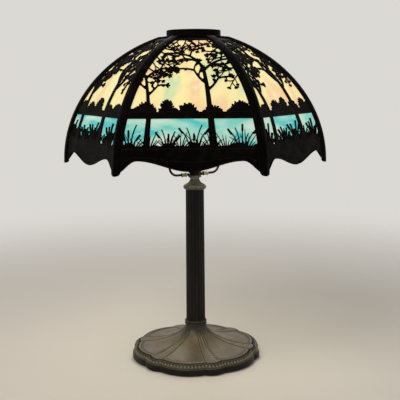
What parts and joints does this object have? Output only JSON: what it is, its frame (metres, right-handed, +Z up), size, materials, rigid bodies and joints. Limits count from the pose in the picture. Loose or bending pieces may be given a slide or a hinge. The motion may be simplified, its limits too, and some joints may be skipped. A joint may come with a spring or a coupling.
{
  "type": "table lamp",
  "caption": "Table lamp with a panelled shade of bent streaked glass behind pierced metal, on a harp, a reeded column and a lobed trumpet base.",
  "frame": {"origin": "on the table under the middle of the lamp", "axes": "+Z up the column, the front panel of the shade toward -Y"},
  "size_m": [0.4572, 0.396, 0.5728],
  "materials": {
    "bronze": "aged cast metal with a bronze wash",
    "dark_bronze": "dark patinated cast metal",
    "brass": "aged satin brass",
    "steel": "plain plated steel",
    "amber_glass": "streaked opal glass, amber and pale green",
    "green_glass": "streaked opal glass, mint and teal",
    "bulb_glass": "frosted glass",
    "porcelain": "glazed porcelain",
    "liner": "vulcanised fibre",
    "black_fibre": "moulded black bakelite",
    "felt": "wool felt"
  },
  "bodies": {
    "stand": {"base_casting": "bronze", "base_felt": "felt", "cord_bushing": "black_fibre", "stem_pipe": "brass", "stem_washer": "steel", "stem_nut": "brass", "base_collar": "bronze", "column": "dark_bronze", "column_cap": "bronze", "seating_ring": "bronze", "harp_saddle": "brass", "harp_bow": "brass", "harp_stud": "brass", "socket_cap": "brass", "socket_shell": "brass", "socket_liner": "liner", "socket_core": "porcelain", "screw_shell": "brass", "centre_contact": "brass"},
    "shade": {"crown_ring": "dark_bronze", "crown_spider": "bronze", "fret_panel_1": "dark_bronze", "fret_panel_2": "dark_bronze", "fret_panel_3": "dark_bronze", "fret_panel_4": "dark_bronze", "fret_panel_5": "dark_bronze", "fret_panel_6": "dark_bronze", "skirt_1": "dark_bronze", "skirt_2": "dark_bronze", "skirt_3": "dark_bronze", "skirt_4": "dark_bronze", "skirt_5": "dark_bronze", "skirt_6": "dark_bronze", "corner_rib_1": "dark_bronze", "corner_rib_2": "dark_bronze", "corner_rib_3": "dark_bronze", "corner_rib_4": "dark_bronze", "corner_rib_5": "dark_bronze", "corner_rib_6": "dark_bronze", "upper_glass_1": "amber_glass", "upper_glass_2": "amber_glass", "upper_glass_3": "amber_glass", "upper_glass_4": "amber_glass", "upper_glass_5": "amber_glass", "upper_glass_6": "amber_glass", "lower_glass_1": "green_glass", "lower_glass_2": "green_glass", "lower_glass_3": "green_glass", "lower_glass_4": "green_glass", "lower_glass_5": "green_glass", "lower_glass_6": "green_glass", "glass_clips": "brass"},
    "key": {"switch_key": "black_fibre"},
    "sleeve_1": {"locking_sleeve_1": "brass"},
    "sleeve_2": {"locking_sleeve_2": "brass"},
    "finial": {"finial": "brass"},
    "bulb": {"bulb_cap": "steel", "bulb_glass": "bulb_glass"}
  },
  "joints": [
    {"name": "shade_turn", "type": "hinge", "parent": "stand", "child": "shade", "pos_m": [0, 0, 0.5555], "axis": [0, 0, 1], "continuous": true},
    {"name": "key_turn", "type": "hinge", "parent": "stand", "child": "key", "pos_m": [-0.01576, 0.00637, 0.3465], "axis": [-0.9272, 0.3746, 0], "continuous": true},
    {"name": "sleeve_1_slide", "type": "slide", "parent": "stand", "child": "sleeve_1", "axis": [0.8192, 0.5736, 0], "range_m": [0, 0.008]},
    {"name": "sleeve_2_slide", "type": "slide", "parent": "stand", "child": "sleeve_2", "axis": [-0.8192, -0.5736, 0], "range_m": [0, 0.008]},
    {"name": "finial_turn", "type": "hinge", "parent": "stand", "child": "finial", "pos_m": [0, 0, 0.5585], "axis": [0, 0, 1], "continuous": true},
    {"name": "bulb_turn", "type": "hinge", "parent": "stand", "child": "bulb", "pos_m": [0, 0, 0.3605], "axis": [0, 0, 1], "continuous": true}
  ]
}
